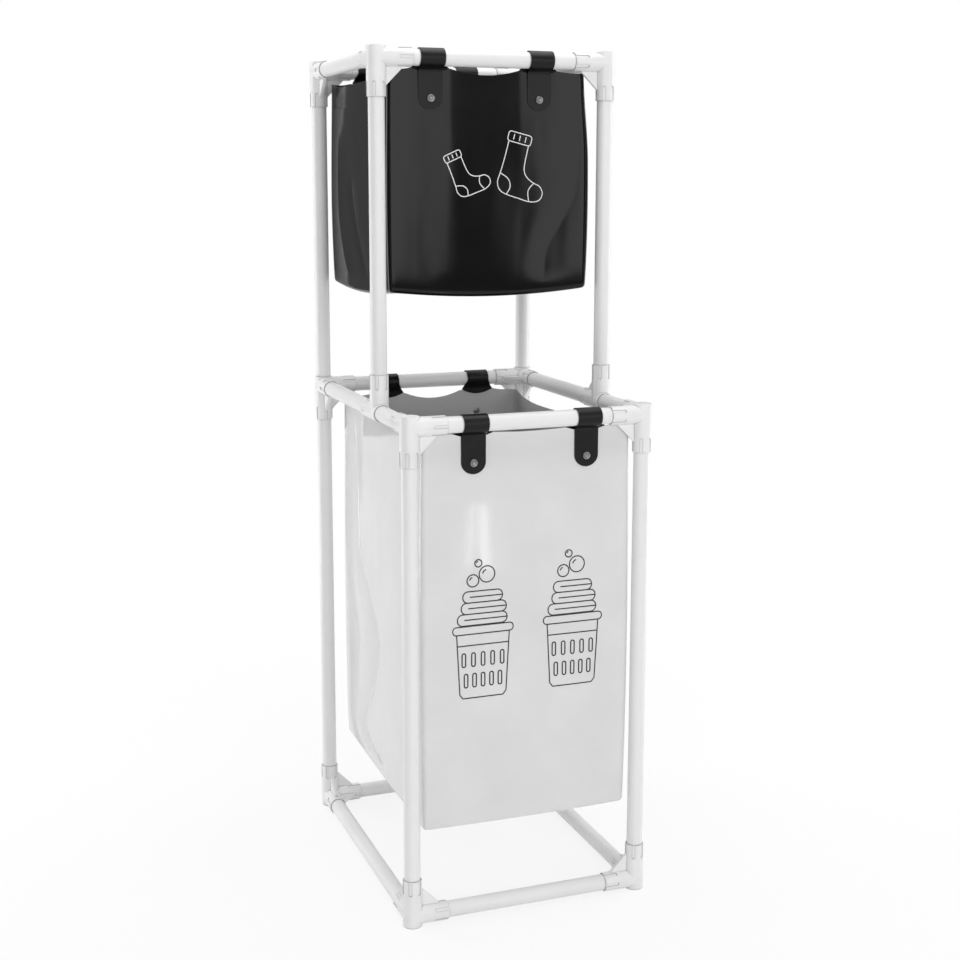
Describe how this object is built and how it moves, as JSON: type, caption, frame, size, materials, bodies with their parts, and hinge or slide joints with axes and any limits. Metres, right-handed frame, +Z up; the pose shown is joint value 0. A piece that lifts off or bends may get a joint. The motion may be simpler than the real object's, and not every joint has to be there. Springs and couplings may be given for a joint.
{
  "type": "laundry hamper",
  "caption": "Tiered frame of push-fit tube and gusseted connectors that carries a deep laundry bag below and a shallower one above, each hung from the rails by straps that snap shut.",
  "frame": {"origin": "on the floor, midway between the posts: the centre of the base's outline, at the underside of the base connectors", "axes": "+X to the right along the front, -Y towards the front, +Z up; the upper tier stands on the rear (+Y) part of the lower one"},
  "size_m": [0.3232, 0.4136, 1.059],
  "materials": {
    "connector_plastic": "satin white moulded plastic",
    "tube_plastic": "smooth white extruded plastic",
    "white_cloth": "white coated cloth with a satin face",
    "black_cloth": "black coated cloth with a satin face",
    "strap_webbing": "black coated strap with a slight sheen"
  },
  "bodies": {
    "frame": {"base_corner_front_left": "connector_plastic", "base_corner_front_right": "connector_plastic", "base_corner_rear_left": "connector_plastic", "base_corner_rear_right": "connector_plastic", "mid_corner_front_left": "connector_plastic", "mid_corner_front_right": "connector_plastic", "mid_corner_rear_left": "connector_plastic", "mid_corner_rear_right": "connector_plastic", "mid_tee_left": "connector_plastic", "mid_tee_right": "connector_plastic", "top_corner_front_left": "connector_plastic", "top_corner_front_right": "connector_plastic", "top_corner_rear_left": "connector_plastic", "top_corner_rear_right": "connector_plastic", "base_rail_front": "tube_plastic", "base_rail_rear": "tube_plastic", "base_rail_left": "tube_plastic", "base_rail_right": "tube_plastic", "lower_post_front_left": "tube_plastic", "lower_post_front_right": "tube_plastic", "lower_post_rear_left": "tube_plastic", "lower_post_rear_right": "tube_plastic", "mid_rail_front": "tube_plastic", "mid_rail_rear": "tube_plastic", "mid_rail_left_front": "tube_plastic", "mid_rail_left_rear": "tube_plastic", "mid_rail_right_front": "tube_plastic", "mid_rail_right_rear": "tube_plastic", "upper_post_front_left": "tube_plastic", "upper_post_front_right": "tube_plastic", "upper_post_rear_left": "tube_plastic", "upper_post_rear_right": "tube_plastic", "top_rail_front": "tube_plastic", "top_rail_rear": "tube_plastic", "top_rail_left": "tube_plastic", "top_rail_right": "tube_plastic", "lower_bag": "white_cloth", "upper_bag": "black_cloth", "lower_strap_tab_front_left": "strap_webbing", "lower_strap_tab_front_right": "strap_webbing", "lower_strap_tab_rear_left": "strap_webbing", "lower_strap_tab_rear_right": "strap_webbing", "upper_strap_tab_front_left": "strap_webbing", "upper_strap_tab_front_right": "strap_webbing", "upper_strap_tab_rear_left": "strap_webbing", "upper_strap_tab_rear_right": "strap_webbing"},
    "lower_flap_front_left": {"lower_strap_flap_front_left": "strap_webbing"},
    "lower_flap_front_right": {"lower_strap_flap_front_right": "strap_webbing"},
    "lower_flap_rear_left": {"lower_strap_flap_rear_left": "strap_webbing"},
    "lower_flap_rear_right": {"lower_strap_flap_rear_right": "strap_webbing"},
    "upper_flap_front_left": {"upper_strap_flap_front_left": "strap_webbing"},
    "upper_flap_front_right": {"upper_strap_flap_front_right": "strap_webbing"},
    "upper_flap_rear_left": {"upper_strap_flap_rear_left": "strap_webbing"},
    "upper_flap_rear_right": {"upper_strap_flap_rear_right": "strap_webbing"}
  },
  "joints": [
    {"name": "lower_front_left_unsnap", "type": "hinge", "parent": "frame", "child": "lower_flap_front_left", "pos_m": [-0.07, -0.2068, 0.618], "axis": [-1, 0, 0], "range_deg": [0, 150]},
    {"name": "lower_front_right_unsnap", "type": "hinge", "parent": "frame", "child": "lower_flap_front_right", "pos_m": [0.076, -0.2068, 0.618], "axis": [-1, 0, 0], "range_deg": [0, 150]},
    {"name": "lower_rear_left_unsnap", "type": "hinge", "parent": "frame", "child": "lower_flap_rear_left", "pos_m": [-0.058, 0.2068, 0.618], "axis": [1, 0, 0], "range_deg": [0, 150]},
    {"name": "lower_rear_right_unsnap", "type": "hinge", "parent": "frame", "child": "lower_flap_rear_right", "pos_m": [0.077, 0.2068, 0.618], "axis": [1, 0, 0], "range_deg": [0, 150]},
    {"name": "upper_front_left_unsnap", "type": "hinge", "parent": "frame", "child": "upper_flap_front_left", "pos_m": [-0.081, -0.0868, 1.046], "axis": [-1, 0, 0], "range_deg": [0, 150]},
    {"name": "upper_front_right_unsnap", "type": "hinge", "parent": "frame", "child": "upper_flap_front_right", "pos_m": [0.061, -0.0868, 1.046], "axis": [-1, 0, 0], "range_deg": [0, 150]},
    {"name": "upper_rear_left_unsnap", "type": "hinge", "parent": "frame", "child": "upper_flap_rear_left", "pos_m": [-0.081, 0.2068, 1.046], "axis": [1, 0, 0], "range_deg": [0, 150]},
    {"name": "upper_rear_right_unsnap", "type": "hinge", "parent": "frame", "child": "upper_flap_rear_right", "pos_m": [0.061, 0.2068, 1.046], "axis": [1, 0, 0], "range_deg": [0, 150]}
  ]
}
